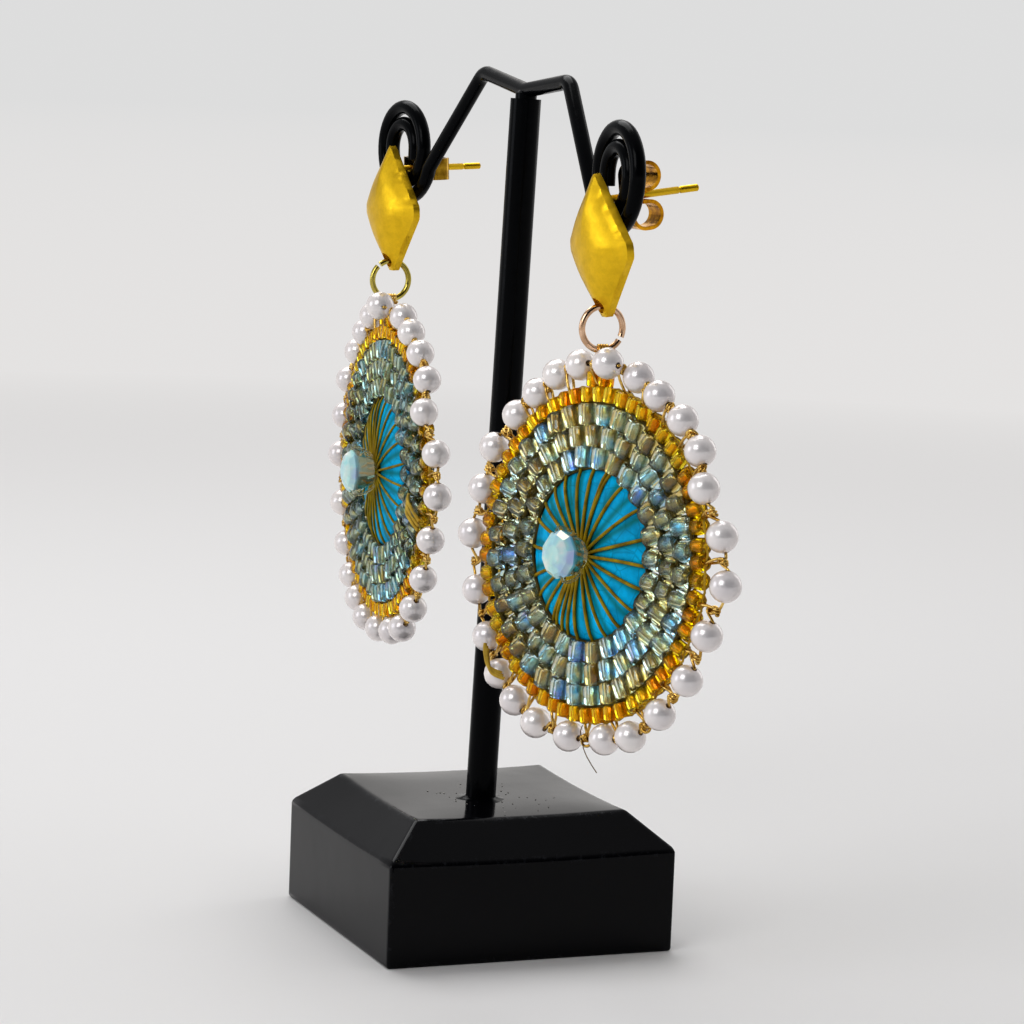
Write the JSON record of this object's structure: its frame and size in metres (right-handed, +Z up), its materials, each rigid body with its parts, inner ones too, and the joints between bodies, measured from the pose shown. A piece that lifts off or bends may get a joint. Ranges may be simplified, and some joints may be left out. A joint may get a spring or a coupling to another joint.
{
  "type": "pair of medallion earrings on an earring stand",
  "caption": "Pair of beaded medallion drop earrings with rhombus studs, pearl rims and crystal centres, hung on a small two-armed wire stand with a square base.",
  "frame": {"origin": "middle of the underside of the stand's base", "axes": "+Z up along the post, +X along the stand's arms, the earrings' fronts face -Y"},
  "size_m": [0.1241, 0.04, 0.1148],
  "materials": {
    "stand_gloss": "polished black",
    "stand_metal": "satin black",
    "stud_gold": "satin yellow gold plate",
    "clutch_gold": "bright gold plate",
    "ring_gold": "bright pinkish gold plate",
    "gold_wire": "bright",
    "turquoise": "turquoise disc wound with bronze thread",
    "aqua_glass": "silver-lined aqua glass beads",
    "gold_glass": "metallic gold glass beads",
    "pearl": "pearl lustre",
    "crystal": "faceted, clear aqua",
    "thread": "olive-bronze thread"
  },
  "bodies": {
    "stand": {"stand_base": "stand_gloss", "stand_post": "stand_metal", "stand_wire": "stand_metal", "stud_left": "stud_gold", "stud_right": "stud_gold"},
    "clutch_left": {"clutch_left": "clutch_gold"},
    "clutch_right": {"clutch_right": "clutch_gold"},
    "ring_left": {"jump_ring_left": "ring_gold"},
    "ring_right": {"jump_ring_right": "ring_gold"},
    "drop_left": {"hang_loop_left": "gold_wire", "turquoise_disc_left": "turquoise", "aqua_beads_left": "aqua_glass", "gold_beads_left": "gold_glass", "pearls_left": "pearl", "pearl_wire_left": "gold_wire", "crystal_bead_left": "crystal", "crystal_thread_left": "thread"},
    "drop_right": {"hang_loop_right": "gold_wire", "turquoise_disc_right": "turquoise", "aqua_beads_right": "aqua_glass", "gold_beads_right": "gold_glass", "pearls_right": "pearl", "pearl_wire_right": "gold_wire", "crystal_bead_right": "crystal", "crystal_thread_right": "thread"}
  },
  "joints": [
    {"name": "clutch_left_slide", "type": "slide", "parent": "stand", "child": "clutch_left", "axis": [-0.1044, 0.9932, 0.0523], "range_m": [0, 0.0085]},
    {"name": "clutch_right_slide", "type": "slide", "parent": "stand", "child": "clutch_right", "axis": [-0.0691, 0.9888, 0.1323], "range_m": [0, 0.0085]},
    {"name": "ring_left_swing", "type": "hinge", "parent": "stand", "child": "ring_left", "pos_m": [-0.03337, -0.00314, 0.08439], "axis": [1, 0, 0], "range_deg": [-30, 30]},
    {"name": "ring_right_swing", "type": "hinge", "parent": "stand", "child": "ring_right", "pos_m": [0.04055, -0.0029, 0.08426], "axis": [1, 0, 0], "range_deg": [-30, 30]},
    {"name": "drop_left_swing", "type": "hinge", "parent": "ring_left", "child": "drop_left", "pos_m": [-0.03337, -0.00314, 0.08171], "axis": [0, 1, 0], "range_deg": [-18, 30]},
    {"name": "drop_right_swing", "type": "hinge", "parent": "ring_right", "child": "drop_right", "pos_m": [0.04055, -0.0029, 0.08158], "axis": [0, 1, 0], "range_deg": [-30, 18]}
  ]
}
